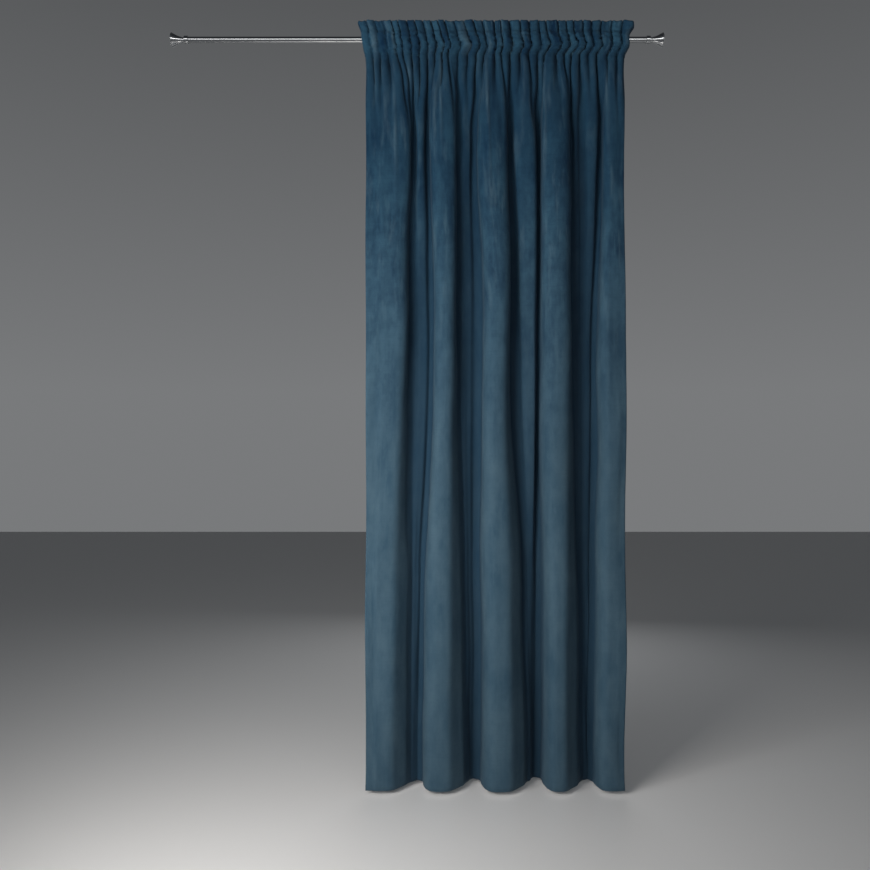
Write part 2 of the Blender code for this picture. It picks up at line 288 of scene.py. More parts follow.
# %% [markdown]
# ## The line of the folds
#
# Each fold is a chain of smooth bends: crest, flank, floor of the hollow, flank, crest. A flank
# steeper than upright makes the fold wider than its own neck, which gives the crisp dark edge
# of a heavy cloth. Every place across the cloth is named by where it sits on the rod, so the
# hollows between folds start at slits between gathers.

# %% Places across the cloth
BODY_LEFT = -177.0
BODY_RIGHT = 721.0
BODY_MIDDLE = (BODY_LEFT + BODY_RIGHT) / 2

gather_width = np.array([row[0] for row in GATHERS], dtype=float)
gather_sway = np.array([row[1] for row in GATHERS], dtype=float)
gather_run = np.array([row[2] for row in GATHERS], dtype=float)
frill_depth = np.array([row[3] for row in GATHERS], dtype=float)
pocket_depth = np.array([row[4] for row in GATHERS], dtype=float)
slits = np.concatenate([[0.0], np.cumsum(gather_width)])
slits = BODY_LEFT + slits / slits[-1] * (BODY_RIGHT - BODY_LEFT)
fold_ends = slits[np.concatenate([[0], np.cumsum(GATHERS_IN_FOLD)])]

fold_marks = []
for left_end, right_end in zip(fold_ends[:-1], fold_ends[1:]):
    fold_marks += [left_end + share * (right_end - left_end) for share in (0.0, 0.25, 0.5, 0.75)]
fold_marks = np.array(fold_marks[1:])

print(len(fold_marks), "marks between the folds' bends")

# %% [markdown]
# Soft cloth never turns a sharp corner, so each bend is one smooth curve that leaves one place
# in a given direction and arrives at the next in another. How far it is pulled along those
# directions sets how round the bend is.

# %% One bend
BEND_PULL = 0.60
SHALLOW = 14.0
EDGE_BACK = 8.0


def bend(start, end, start_angle, end_angle, share):
    """Points along one smooth bend of cloth. Angles turn from +X towards +Y."""
    start, end = np.array(start), np.array(end)
    reach = BEND_PULL * np.abs(end - start)
    first = np.array([math.cos(start_angle), math.sin(start_angle)])
    second = np.array([math.cos(end_angle), math.sin(end_angle)])
    knots = [
        start,
        start + first * (reach @ np.abs(first)),
        end - second * (reach @ np.abs(second)),
        end,
    ]
    rest = 1 - share
    weights = [rest**3, 3 * share * rest**2, 3 * share**2 * rest, share**3]
    return sum(np.outer(weight, knot) for weight, knot in zip(weights, knots))


half_bend = bend((0, 0), (40, 50), 0.0, math.radians(90), np.array([0.5]))[0]
print("halfway round a bend of 40 by 50 mm:", [round(float(side), 1) for side in half_bend])

# %% [markdown]
# A shallow wrinkle stays a gentle wave, while a deep fold swings round until its sides stand
# upright. So each fold turns as steeply as it is deep. At the two side edges the cloth curls a
# little towards the back and ends there.

# %% Large folds


def fullness(depth):
    """How far a fold this deep turns to its full steepness."""
    return 1 - math.exp(-max(depth, 0.0) / SHALLOW)


def fold_knots(table, steep):
    """Left flank, crest, right flank and hollow of each fold in turn: x, y and angle."""
    x, y, full, shares = [], [], [], []
    floor_before = EDGE_BACK - table[0][3]
    for number, (left, right, crest_at, crest, floor_x, floor) in enumerate(table):
        first, last = number == 0, number == len(table) - 1
        floor_after = EDGE_BACK - crest if last else floor
        left_share = 0.0 if first else fullness(crest + floor_before)
        right_share = 0.0 if last else fullness(crest + floor_after)
        crest_share = (max if first or last else min)(left_share, right_share)
        if not first:
            shares[-1] = min(shares[-2], left_share)
        x += [left, left + crest_at * (right - left), right, floor_x]
        y += [(floor_before - crest) / 2, -crest, (floor_after - crest) / 2, floor]
        full += [-steep[0], 0.0, steep[1], 0.0]
        shares += [left_share, crest_share, right_share, 0.0]
        floor_before = floor
    x, y = np.array(x[:-1], dtype=float), np.array(y[:-1], dtype=float)
    chord = np.degrees(np.arctan2(np.gradient(y), np.gradient(x)))
    share = np.array(shares[:-1])
    angle = np.radians(np.array(full[:-1]) * share + chord * (1 - share))
    return list(zip(x, y, angle))


def folded_line(places, table, steep):
    """The cloth's line seen from above, folded as one of the tables says."""
    knots = fold_knots(table, steep)
    marks = np.concatenate([[BODY_LEFT], fold_marks[1:-1], [BODY_RIGHT]])
    line = np.zeros((len(places), 2))
    for index in range(len(knots) - 1):
        inside = (places >= marks[index]) & (places <= marks[index + 1])
        share = (places[inside] - marks[index]) / (marks[index + 1] - marks[index])
        (x0, y0, a0), (x1, y1, a1) = knots[index], knots[index + 1]
        line[inside] = bend((x0, y0), (x1, y1), a0, a1, share)
    return line


print("deepest hollow at the hem:", max(row[5] for row in HEM_FOLDS), "mm back")

# %% [markdown]
# ## Gathers
#
# A gather pushed together on a rod has a broad, flattened face, and a narrow slit on each
# side that is deep and dark. Its outline swings back and forth like a wave, and pushing the
# wave's points sideways, away from each slit, squeezes the slits narrow and spreads the faces.

# %% Gather wave
gather_middles = (slits[:-1] + slits[1:]) / 2


def along_gathers(places, values):
    return np.interp(places, gather_middles, values)


def gather_wave(places):
    """Sideways push (share of a gather's width) and depth (0 on a face, 1 in a slit)."""
    turn = 2 * math.pi * np.interp(places, slits, np.arange(len(slits)))
    push = -np.sin(turn) / (2 * math.pi) - GATHER_LEAN * (1 - np.cos(turn)) / 2
    return push, (1 + np.cos(turn)) / 2


def directions(line):
    """Unit vectors along a line seen from above, and across it towards the back."""
    slope = np.gradient(line, axis=0)
    along = slope / np.maximum(np.linalg.norm(slope, axis=1, keepdims=True), 1e-9)
    return along, np.stack([-along[:, 1], along[:, 0]], axis=1)


print("a gather is", round(float(gather_width.mean()), 1), "mm wide on average")

# %% [markdown]
# ## Unevenness
#
# No two hand-drawn gathers are alike. Soft noise with a fixed seed is the sum of a few waves
# with chosen lengths, so the same curtain comes out each time.

# %% Soft seeded noise


def soft_noise(across, down, length_across, length_down, seed, waves=16):
    """A smooth random field, mostly between -1 and 1. The lengths are its shortest waves."""
    chance = np.random.default_rng(seed)
    field = np.zeros(np.broadcast(across, down).shape)
    for _ in range(waves):
        a = chance.uniform(-1.0, 1.0) / length_across
        b = chance.uniform(-1.0, 1.0) / length_down
        field = field + np.sin(2 * math.pi * (a * across + b * down) + chance.uniform(0, 6.283))
    return field / math.sqrt(waves)


print("noise at one place:", round(float(soft_noise(10.0, 20.0, 30.0, 30.0, seed=1)), 3))

# %% [markdown]
# ## The cloth in its place
#
# Each row of the cloth mixes the straight line of the rod with the three fold lines, in the
# shares its station gives. The gathers stand on that line, across it, and each one fades out
# below the rod at its own height. Over the rod they lean to the right, as hands pushed them.

# %% The hanging surface
POCKET_Z = -54.0
POCKET_FADE = 50.0
FRILL_START = 4.0
FRILL_FADE = 26.0
GATHER_FADE = 0.9
DEPTH_SPREAD = 0.24


def hang(places, distance):
    """Where the cloth hangs: one row of points for each distance, one column for each place."""
    high = folded_line(places, HIGH_FOLDS, FLANK_STEEP["high"])
    middle = folded_line(places, MIDDLE_FOLDS, FLANK_STEEP["middle"])
    low = folded_line(places, HEM_FOLDS, FLANK_STEEP["hem"])
    push, wave = gather_wave(places)
    width = along_gathers(places, gather_width)
    run = along_gathers(places, gather_run)
    sway = along_gathers(places, gather_sway)
    own_depth = 1 + DEPTH_SPREAD * soft_noise(places, 0.0, 30.0, 1.0, seed=11)
    in_frill = along_gathers(places, frill_depth)
    in_pocket = along_gathers(places, pocket_depth)
    grid = np.zeros((len(distance), len(places), 3))
    for number, row in enumerate(read_stations(distance)):
        z, middle_y, gather, narrow, high_share, middle_share, low_share, wide, swayed = row
        flat_share = 1 - high_share - middle_share - low_share
        line = flat_share * np.stack([places, np.full(len(places), middle_y)], axis=1)
        line = line + high_share * high + middle_share * middle + low_share * low
        below = max(0.0, POCKET_Z - z)
        up = np.clip((z - FRILL_START) / FRILL_FADE, 0, 1)
        down = np.clip((POCKET_Z + 10.0 - z) / POCKET_FADE, 0, 1)
        depth = own_depth * (in_frill * up + (1 - up) * (down + (1 - down) * in_pocket))
        amount = gather * depth * np.exp(-((below / run) ** 2) * GATHER_FADE)
        along, across = directions(line)
        line = line + along * (push * width * narrow * np.minimum(amount, 1.0))[:, None]
        slit = 2 * wave ** (FACE_FLAT + (FRILL_FLAT - FACE_FLAT) * up) - 1
        line = line + across * (slit * amount * GATHER_DEPTH / 2)[:, None]
        grid[number, :, 0] = BODY_MIDDLE + (line[:, 0] - BODY_MIDDLE) * wide + sway * swayed
        grid[number, :, 1] = line[:, 1]
        grid[number, :, 2] = z + FRILL_LIFT * up * wave
    return grid


def row_lengths(grid):
    return np.linalg.norm(np.diff(grid, axis=1), axis=2)


frill_edge = hang(np.linspace(BODY_LEFT, BODY_RIGHT, 200), way[25:26])[0]
print("the frill spans", round(float(np.ptp(frill_edge[:, 0]))), "mm on the rod")

# %% [markdown]
# Velvet hardly stretches, so every row ought to measure the same along its folds. On the long
# drop the rows agree within a few hundredths of a metre. Over the rod the small deep gathers
# take up to a fifth more, a liberty taken so that they look as deep as real ones. The columns
# are spread by the mean of all rows, so the pile keeps nearly one scale.

# %% Columns that share the cloth's width out
CLOTH_WIDTH = 1400.0
COLUMNS = 316
fine_places = np.linspace(BODY_LEFT, BODY_RIGHT, 3000)
probe = hang(fine_places, np.linspace(0, way[-1], 80))
travelled = np.concatenate([[0.0], np.cumsum(row_lengths(probe).mean(axis=0))])
places = np.interp(np.linspace(0, travelled[-1], COLUMNS + 1), travelled, fine_places)
for row in probe[::8]:
    total = row_lengths(row[None])[0].sum() / 1000
    print("at z", round(float(row[0, 2])), "the cloth measures", round(float(total), 3), "m")

# %% [markdown]
# The long drop is nearly straight and needs few rows. The heading bends round the rod within
# a few centimetres, so the rows close up towards it.

# %% Rows, closer together where the cloth bends more
HEADING_ROW = 4.4
HEM_ROW = 14.0
BODY_ROW = 60.0
ROW_GROWTH = 0.085
HEM_ROW_GROWTH = 0.3
CLOSE_BELOW_POCKET = 60.0
heading_start = way[LOWER_STITCHES] - CLOSE_BELOW_POCKET


def row_distances():
    distance = [0.0]
    while distance[-1] < way[-1]:
        below = max(0.0, heading_start - distance[-1])
        near_hem = HEM_ROW + HEM_ROW_GROWTH * distance[-1]
        distance.append(distance[-1] + min(BODY_ROW, HEADING_ROW + ROW_GROWTH * below, near_hem))
    return np.array(distance) / distance[-1] * way[-1]


distances = row_distances()
surface = hang(places, distances)
print(len(distances), "rows and", len(places), "columns")

# %% [markdown]
# ## Small dents and puckers
#
# Small uneven shapes are limited to a part of the cloth, so two helpers come first: one fades a
# shape in and out between two places, and one tells which way the pile faces.

# %% Helpers for small shapes
columns_x = places[None, :]
heights = surface[:, :, 2]
front_rows = (distances < way[26])[:, None]


def between(value, low, high, soft):
    """1 between two places and 0 outside them, with soft edges."""
    rise = np.clip((value - low) / soft, 0, 1)
    fall = np.clip((high - value) / soft, 0, 1)
    return rise * rise * (3 - 2 * rise) * fall * fall * (3 - 2 * fall)


def pile_normals(points):
    """Unit vectors off the pile side of the cloth."""
    along_row = np.gradient(points, axis=1)
    up_column = np.gradient(points, axis=0)
    normal = np.cross(along_row, up_column)
    return normal / np.maximum(np.linalg.norm(normal, axis=2, keepdims=True), 1e-9)


print(int(front_rows.sum()), "rows lie in front")

# %% [markdown]
# Thread pulls small puckers into the tunnel round the rod. The long drop is calmer: only wide,
# shallow dents that catch a little light. Both follow the height and the place across, so two
# layers that lie together dent together.

# %% Puckers and dents
PUCKER_DEPTH = 2.4
CREASE_DEPTH = 0.9
DENT_DEPTH = 2.0
SMALL_DENT_DEPTH = 0.7
CALM_EDGE = 25.0

pucker = PUCKER_DEPTH * soft_noise(columns_x, heights, 15.0, 9.0, seed=21, waves=30)
pucker = pucker * between(heights, -52.0, 22.0, 12.0)
crease = CREASE_DEPTH * soft_noise(columns_x, heights, 9.0, 14.0, seed=22, waves=30)
pucker = pucker + crease * between(heights, -110.0, 62.0, 20.0)
pucker = pucker * between(columns_x, BODY_LEFT, BODY_RIGHT, CALM_EDGE)
calm = between(heights, -2700.0, -90.0, 160.0)
dents = DENT_DEPTH * soft_noise(columns_x, heights, 80.0, 420.0, seed=31)
dents = dents + SMALL_DENT_DEPTH * soft_noise(columns_x, heights, 45.0, 110.0, seed=32, waves=24)
normals = pile_normals(surface)
surface = surface + normals * (pucker + calm * dents)[:, :, None]
print("deepest pucker", round(float(np.abs(pucker).max()), 2), "mm")

# %% [markdown]
# The frill above the tunnel is never quite level, and its free right corner flops outwards and
# forwards. Below the rod the folds wander a few millimetres sideways on their way down.

# %% Uneven frill and wandering folds
FRILL_SWAY = 2.0
FRILL_UNEVEN = 0.9
CORNER_OUT = 10.0
CORNER_FORWARD = 9.0
CORNER_DROP = 9.0
UPPER_WANDER = 2.6
LONG_WANDER = 2.5

frill = between(heights, 20.0, 90.0, 30.0)
surface[:, :, 1] += frill * FRILL_SWAY * soft_noise(columns_x, heights, 40.0, 50.0, seed=41)
surface[:, :, 2] += frill * FRILL_UNEVEN * soft_noise(columns_x, 0.0, 18.0, 1.0, seed=42, waves=24)
corner = between(columns_x, 700.0, 800.0, 26.0) * between(heights, 4.0, 90.0, 36.0)
surface[:, :, 0] += CORNER_OUT * corner
surface[:, :, 1] -= CORNER_FORWARD * corner
surface[:, :, 2] -= CORNER_DROP * corner * between(heights, 26.0, 90.0, 24.0)
leaning = between(heights, -420.0, -30.0, 90.0) * between(columns_x, -170.0, 715.0, 60.0)
wander = soft_noise(columns_x, heights, 55.0, 150.0, seed=43, waves=24)
surface[:, :, 0] += leaning * UPPER_WANDER * wander
surface[:, :, 0] += calm * LONG_WANDER * soft_noise(columns_x, heights, 160.0, 500.0, seed=51)
print("the right corner moves", CORNER_OUT, "mm out and", CORNER_DROP, "mm down")

# %% [markdown]
# A few gathers run on far below the rod as long soft ridges on the wide folds. They catch a
# thin line of light, which is what shows how soft the cloth is. Each is listed one by one,
# because the eye follows these lines more than any other.

# %% Long soft ridges that run down from the gathers
# The finish later lays a painted highlight along the crests of these ridges.
RIDGES = [
    # x at the top, x at the bottom, top, bottom, half width, height
    (-82, -70, -70, -640, 5, 5.0),
    (-150, -140, -70, -260, 6, 3.0),
    (-118, -112, -70, -300, 6, 2.5),
    (-30, -26, -60, -240, 6, 3.0),
    (80, 85, -60, -420, 5, 5.0),
    (58, 60, -70, -420, 5, 3.0),
    (240, 254, -60, -620, 5, 5.0),
    (285, 296, -90, -420, 8, -3.0),
    (372, 366, -60, -330, 8, 3.5),
    (442, 446, -80, -800, 5, 4.5),
    (505, 500, -60, -300, 8, -3.0),
    (660, 664, -70, -480, 6, 3.5),
    (694, 700, -60, -350, 7, -3.0),
]
FRONT_ONLY = 6.0
on_front = np.clip((FRONT_ONLY - surface[:, :, 1]) / 20.0, 0, 1) * front_rows
normals = pile_normals(surface)
lift = np.zeros(heights.shape)
for top_x, bottom_x, top, bottom, half_width, ridge_height in RIDGES:
    share = np.clip((heights - top) / (bottom - top), 0, 1)
    off_line = (surface[:, :, 0] - top_x - (bottom_x - top_x) * share) / half_width
    fade = np.sin(math.pi * share**0.6)
    lift += ridge_height * np.exp(-(off_line**2)) * fade * on_front
surface = surface + normals * lift[:, :, None]
print(len(RIDGES), "ridges, the highest", round(float(lift.max()), 1), "mm")

# %% [markdown]
# The cloth lies round the rod but never inside it. Any point that came too near is moved
# straight out from the rod's axis.

# %% Clear of the rod
ROD_CLEAR = 14.6
off_rod = np.hypot(surface[:, :, 1], surface[:, :, 2])
near = off_rod < ROD_CLEAR
print("points moved off the rod:", int(near.sum()))
scale = np.where(near, ROD_CLEAR / np.maximum(off_rod, 1e-6), 1.0)
surface[:, :, 1:] *= scale[:, :, None]

# %% [markdown]
# ## Hems
#
# The two side edges are turned back once and the bottom edge is turned up over them. The turned
# cloth lies against the woven back, so the sheet's own grid is simply read backwards past each
# edge, one layer further back. The bottom hem clears the side hems' two layers.

# %% Turned edges
CLOTH_THICKNESS = 1.2
LAYER = 1.7
SIDE_HEM = 22.0
BOTTOM_HEM = 80.0
BOTTOM_LAYERS = 2.2

normals = pile_normals(surface)
column_step = CLOTH_WIDTH / COLUMNS
turned = round(SIDE_HEM / column_step)
turned_rows = int(np.searchsorted(distances, BOTTOM_HEM))
last = len(places) - 1

column_plan = [(k, 1.0, 0.0) for k in range(turned, -1, -1)]
column_plan += [(0, 0.5, -0.5)]
column_plan += [(k, 0.0, 0.0) for k in range(last + 1)]
column_plan += [(last, 0.5, 0.5)]
column_plan += [(k, 1.0, 0.0) for k in range(last, last - turned - 1, -1)]
row_plan = [(k, BOTTOM_LAYERS, 0.0) for k in range(turned_rows, -1, -1)]
row_plan += [(0, BOTTOM_LAYERS / 2, -BOTTOM_LAYERS / 2)]
row_plan += [(k, 0.0, 0.0) for k in range(len(distances))]

print(len(column_plan), "columns and", len(row_plan), "rows with the hems")

# %% [markdown]
# The two plans say, for each column and row of the whole sheet, which place it lies behind and
# how many layers back. The sheet follows from them in one step, and so does the cut size, which
# is what the cloth measures when it is unpicked and laid flat.

# %% The sheet's points and its cut size
column_index = np.array([plan[0] for plan in column_plan])
column_back = np.array([plan[1] for plan in column_plan])
column_out = np.array([plan[2] for plan in column_plan])
row_index = np.array([plan[0] for plan in row_plan])
row_back = np.array([plan[1] for plan in row_plan])
row_down = np.array([plan[2] for plan in row_plan])

sheet_grid = surface[row_index][:, column_index]
sheet_normals = normals[row_index][:, column_index]
layers_back = row_back[:, None] + column_back[None, :]
sheet_grid = sheet_grid - sheet_normals * (LAYER * layers_back)[:, :, None]
across = np.gradient(surface, axis=1)
across = across / np.linalg.norm(across, axis=2, keepdims=True)
sheet_grid = sheet_grid + across[row_index][:, column_index] * (LAYER * column_out)[None, :, None]
sheet_grid[:, :, 2] += LAYER * row_down[:, None]
sheet_grid = sheet_grid / 1000

flat_across = np.concatenate([[0.0], np.cumsum(np.abs(np.diff(column_index)))]) * column_step
flat_along = np.concatenate([[0.0], np.cumsum(np.abs(np.diff(distances[row_index])))])

# %% [markdown]
# ## The sheet
#
# The cloth starts as a flat grid, like the cut length on a table, and its points are then
# moved to where they hang. The flat measures are kept as the cloth's own map, so pile and weave
# later keep their scale round every fold. A last step gives the sheet its thickness.

# %% Cloth sheet
deselect_all()
bpy.ops.mesh.primitive_grid_add(
    x_subdivisions=sheet_grid.shape[1] - 1, y_subdivisions=sheet_grid.shape[0] - 1, size=1
)
panel = bpy.context.object
panel.data.vertices.foreach_set("co", sheet_grid.reshape(-1).astype(np.float32))
flat_map = np.stack(np.meshgrid(flat_across, flat_along), axis=2).reshape(-1, 2) / 1000
corners = np.empty(len(panel.data.loops), dtype=np.int32)
panel.data.loops.foreach_get("vertex_index", corners)
cloth_map = panel.data.uv_layers[0]
cloth_map.name = "cloth"
cloth_map.data.foreach_set("uv", flat_map[corners].reshape(-1).astype(np.float32))
panel.data.update()
panel.data.shade_smooth()
print("the sheet has", len(panel.data.polygons), "faces")

# %% [markdown]
# Pile in the hollows sees little of the room, but the lamps alone leave it too pale. So how far
# back each point lies is kept on the cloth as a value from 0 to 1, and the finish darkens it by
# that, a painted shade in the hollows. A second value marks the long ridges, whose crests get a
# painted highlight.

# %% Depth in the hollows, kept for their painted shade
HOLLOW_START = -8.0
HOLLOW_DEEP = 26.0
FREE_FROM = -60.0
FREE_BELOW = -420.0
FULL_RIDGE = 4.0
back = (sheet_grid[:, :, 1] * 1000 - HOLLOW_START) / (HOLLOW_DEEP - HOLLOW_START)
free_fall = np.clip((FREE_FROM - sheet_grid[:, :, 2] * 1000) / (FREE_FROM - FREE_BELOW), 0, 1)
in_hollow = np.clip(back, 0, 1) * free_fall
hollow_mark = panel.data.attributes.new("in_hollow", "FLOAT", "POINT")
hollow_mark.data.foreach_set("value", in_hollow.reshape(-1).astype(np.float32))
# The ridges' crests are kept as a value for their painted highlight.
crest_line = np.clip(lift / FULL_RIDGE, 0, 1)[row_index][:, column_index]
crest_mark = panel.data.attributes.new("crest_line", "FLOAT", "POINT")
crest_mark.data.foreach_set("value", crest_line.reshape(-1).astype(np.float32))
print("share of the cloth that lies in hollows:", round(float(in_hollow.mean()), 2))

# %% [markdown]
# ## Velvet
#
# Velvet is a short upright pile on a woven ground. Pile that leans towards the light is pale
# and pile that leans away is deep, so a stroked cloth shows soft patches and long streaks. The
# pile's tips also catch light at a slant, which is what the shader's sheen does.

# %% Helpers for finishes


def new_finish(name):
    finish = bpy.data.materials.new(name)
    finish.use_nodes = True
    return finish, finish.node_tree.nodes, finish.node_tree.links


def add_node(nodes, kind, **settings):
    node = nodes.new(kind)
    for name, value in settings.items():
        if name in node.inputs:
            node.inputs[name].default_value = value
        else:
            setattr(node, name, value)
    return node


def noise_on(nodes, links, source, stretch, scale, detail=3.0, roughness=0.5):
    """Noise read from a map whose axes are first stretched."""
    mapping = nodes.new("ShaderNodeMapping")
    mapping.inputs["Scale"].default_value = stretch
    links.new(source, mapping.inputs["Vector"])
    noise = nodes.new("ShaderNodeTexNoise")
    noise.inputs["Scale"].default_value = scale
    noise.inputs["Detail"].default_value = detail
    noise.inputs["Roughness"].default_value = roughness
    links.new(mapping.outputs["Vector"], noise.inputs["Vector"])
    return noise.outputs["Fac"]


print("node and noise helpers ready")

# %% [markdown]
# More helpers stretch a value to the range from 0 to 1, multiply two values, and lay one colour
# over another by such a value.

# %% Helpers for ranges and colours


def feed(links, value, socket):
    """Links an output to a socket, or sets a plain value on it."""
    if hasattr(value, "is_output"):
        links.new(value, socket)
    else:
        socket.default_value = value


def ramp(nodes, links, source, low, high):
    """Stretches a value so that low becomes 0 and high becomes 1."""
    node = nodes.new("ShaderNodeMapRange")
    node.inputs["From Min"].default_value = low
    node.inputs["From Max"].default_value = high
    links.new(source, node.inputs["Value"])
    return node.outputs["Result"]


def times(nodes, links, first, second):
    node = add_node(nodes, "ShaderNodeMath", operation="MULTIPLY")
    feed(links, first, node.inputs[0])
    feed(links, second, node.inputs[1])
    return node.outputs[0]


def blend_colours(nodes, links, amount, first, second):
    node = nodes.new("ShaderNodeMix")
    node.data_type = "RGBA"
    sockets = [s for s in node.inputs if s.type == "RGBA"]
    feed(links, first, sockets[0])
    feed(links, second, sockets[1])
    links.new(amount, node.inputs["Factor"])
    return [s for s in node.outputs if s.type == "RGBA"][0]


print("range and colour helpers ready")

# %% [markdown]
# The pile's own noises are read from the flat map in metres, at the sizes they have on real
# velvet: patches as wide as a hand, brushed streaks down the cloth, fine ribs across it where
# the woven rows lie, and the pile's tips. The velvet is also painted deeper and bluer high up, a
# painted shade, and greyer near the floor, a painted sheen.

# %% Pile side
# Painted light: the TOP tones are darker as a painted shade high up, and the LOW tones are greyer as
# a painted sheen near the floor.
TOP_DEEP = (0.003, 0.019, 0.047, 1)
TOP_PALE = (0.025, 0.076, 0.122, 1)
# A pale tone for the scuffs, also used as the painted highlight on the ridge crests.
SCUFF_AND_HIGHLIGHT_TONE = (0.090, 0.150, 0.190, 1)
LOW_DEEP = (0.025, 0.056, 0.086, 1)
LOW_PALE = (0.047, 0.086, 0.118, 1)
# Painted shade: the next tones darken the cloth just under the rod and in the hollows.
ROD_SHADE_TONE = (0.008, 0.030, 0.058, 1)
ROD_SHADE_SHARE = 0.58
HOLLOW_SHADE_TONE = (0.008, 0.026, 0.050, 1)
HOLLOW_SHADE_SHARE = 0.72

velvet_pile, nodes, links = new_finish("velvet_pile")
shader = nodes["Principled BSDF"]
cloth_uv = add_node(nodes, "ShaderNodeUVMap", uv_map="cloth").outputs["UV"]
axes = nodes.new("ShaderNodeSeparateXYZ")
links.new(cloth_uv, axes.inputs["Vector"])
upper = ramp(nodes, links, axes.outputs["Y"], 1.2, 2.35)

patches = noise_on(nodes, links, cloth_uv, (1.0, 0.35, 1.0), 15.0, 5.0, 0.62)
streaks = noise_on(nodes, links, cloth_uv, (1.0, 0.08, 1.0), 75.0, 3.0, 0.5)
strokes = noise_on(nodes, links, cloth_uv, (1.0, 0.5, 1.0), 48.0, 4.0, 0.65)
ribs = noise_on(nodes, links, cloth_uv, (0.10, 1.0, 1.0), 150.0, 3.0, 0.6)
pile = noise_on(nodes, links, cloth_uv, (1.0, 0.8, 1.0), 900.0, 2.0, 0.6)

# %% [markdown]
# The tones go on one over the other, the widest first. Each row below names a noise, the stretch
# of it that shows, and whether it lays the pale or the deep tone over what is there.

# %% Tones of the pile
# Painted light: blended by height from the greyer low tones, a painted sheen, to the deeper top
# tones, a painted shade.
deep = blend_colours(nodes, links, upper, LOW_DEEP, TOP_DEEP)
pale = blend_colours(nodes, links, upper, LOW_PALE, TOP_PALE)
tone = deep
for noise, low, high, laid_on in (
    (patches, 0.35, 0.66, pale),
    (streaks, 0.50, 0.88, pale),
    (strokes, 0.50, 0.95, pale),
    (strokes, 0.50, 0.02, deep),
    (ribs, 0.50, -0.30, deep),
    (pile, 0.60, -0.60, deep),
):
    tone = blend_colours(nodes, links, ramp(nodes, links, noise, low, high), tone, laid_on)
print("pile tones:", len(nodes), "nodes")

# %% [markdown]
# Some tones belong to a place. The handled pocket and frill show paler scuffs. Just under the
# rod a painted shade darkens the cloth. Then comes the painted shade in the hollows, and last a
# painted highlight along the crests of the long ridges.

# %% Tones of each place
scuffs = noise_on(nodes, links, cloth_uv, (1.0, 0.14, 1.0), 38.0, 4.0, 0.6)
scuffed = times(nodes, links, ramp(nodes, links, scuffs, 0.54, 0.92), upper)
tone = blend_colours(nodes, links, scuffed, tone, SCUFF_AND_HIGHLIGHT_TONE)
# Painted shade: a band of cloth just under the rod is darkened.
above = ramp(nodes, links, axes.outputs["Y"], 1.95, 2.45)
below_pocket = ramp(nodes, links, axes.outputs["Y"], 2.67, 2.61)
painted_rod_shade = times(nodes, links, times(nodes, links, above, below_pocket), ROD_SHADE_SHARE)
tone = blend_colours(nodes, links, painted_rod_shade, tone, ROD_SHADE_TONE)
# Painted shade: the hollows are darkened by how far back the cloth lies.
hollow = add_node(nodes, "ShaderNodeAttribute", attribute_name="in_hollow")
painted_hollow_shade = times(nodes, links, hollow.outputs["Fac"], HOLLOW_SHADE_SHARE)
tone = blend_colours(nodes, links, painted_hollow_shade, tone, HOLLOW_SHADE_TONE)
# Painted highlight: the crests of the long ridges are laid pale.
ridge = add_node(nodes, "ShaderNodeAttribute", attribute_name="crest_line")
painted_crest_highlight = times(nodes, links, ridge.outputs["Fac"], ramp(nodes, links, scuffs, 0.34, 1.12))
tone = blend_colours(nodes, links, painted_crest_highlight, tone, SCUFF_AND_HIGHLIGHT_TONE)
links.new(tone, shader.inputs["Base Color"])
print("pile tones with their places:", len(nodes), "nodes")

# %% [markdown]
# Velvet has almost no shine of its own. It scatters light in the pile, with a weak glow where
# the tips are seen from the side, and the ribs and tips raise its surface very slightly.

# %% Surface of the pile
shader.inputs["Roughness"].default_value = 0.80
shader.inputs["Specular IOR Level"].default_value = 0.2
shader.inputs["Sheen Weight"].default_value = 0.08
shader.inputs["Sheen Roughness"].default_value = 0.45
shader.inputs["Sheen Tint"].default_value = (0.50, 0.68, 0.85, 1)

height = add_node(nodes, "ShaderNodeMath", operation="MULTIPLY_ADD")
height.inputs[1].default_value = 0.8
links.new(ribs, height.inputs[0])
links.new(pile, height.inputs[2])
bump = add_node(nodes, "ShaderNodeBump", Strength=0.5, Distance=0.0008)
links.new(height.outputs[0], bump.inputs["Height"])
links.new(bump.outputs["Normal"], shader.inputs["Normal"])
print("roughness of the pile:", round(shader.inputs["Roughness"].default_value, 2))

# %% [markdown]
# The back of velvet is its bare ground, a plain weave of threads both ways. It is flatter in
# tone than the pile. Two sets of bands in the cloth's own map, multiplied, make the weave.

# %% Woven back
WEAVE_DEEP = (0.026, 0.066, 0.098, 1)
WEAVE_PALE = (0.045, 0.100, 0.140, 1)
THREADS_SCALE = 420.0

woven, nodes, links = new_finish("velvet_woven_back")
shader = nodes["Principled BSDF"]
cloth_uv = add_node(nodes, "ShaderNodeUVMap", uv_map="cloth").outputs["UV"]
shade = noise_on(nodes, links, cloth_uv, (1.0, 0.2, 1.0), 40.0, 3.0, 0.5)
tone = blend_colours(nodes, links, ramp(nodes, links, shade, 0.2, 0.8), WEAVE_DEEP, WEAVE_PALE)
links.new(tone, shader.inputs["Base Color"])
shader.inputs["Roughness"].default_value = 0.92
shader.inputs["Specular IOR Level"].default_value = 0.15
threads = add_node(nodes, "ShaderNodeTexWave", wave_type="BANDS", bands_direction="X")
threads.inputs["Scale"].default_value = THREADS_SCALE
links.new(cloth_uv, threads.inputs["Vector"])
picks = add_node(nodes, "ShaderNodeTexWave", wave_type="BANDS", bands_direction="Y")
picks.inputs["Scale"].default_value = THREADS_SCALE
links.new(cloth_uv, picks.inputs["Vector"])
weave = times(nodes, links, threads.outputs["Fac"], picks.outputs["Fac"])
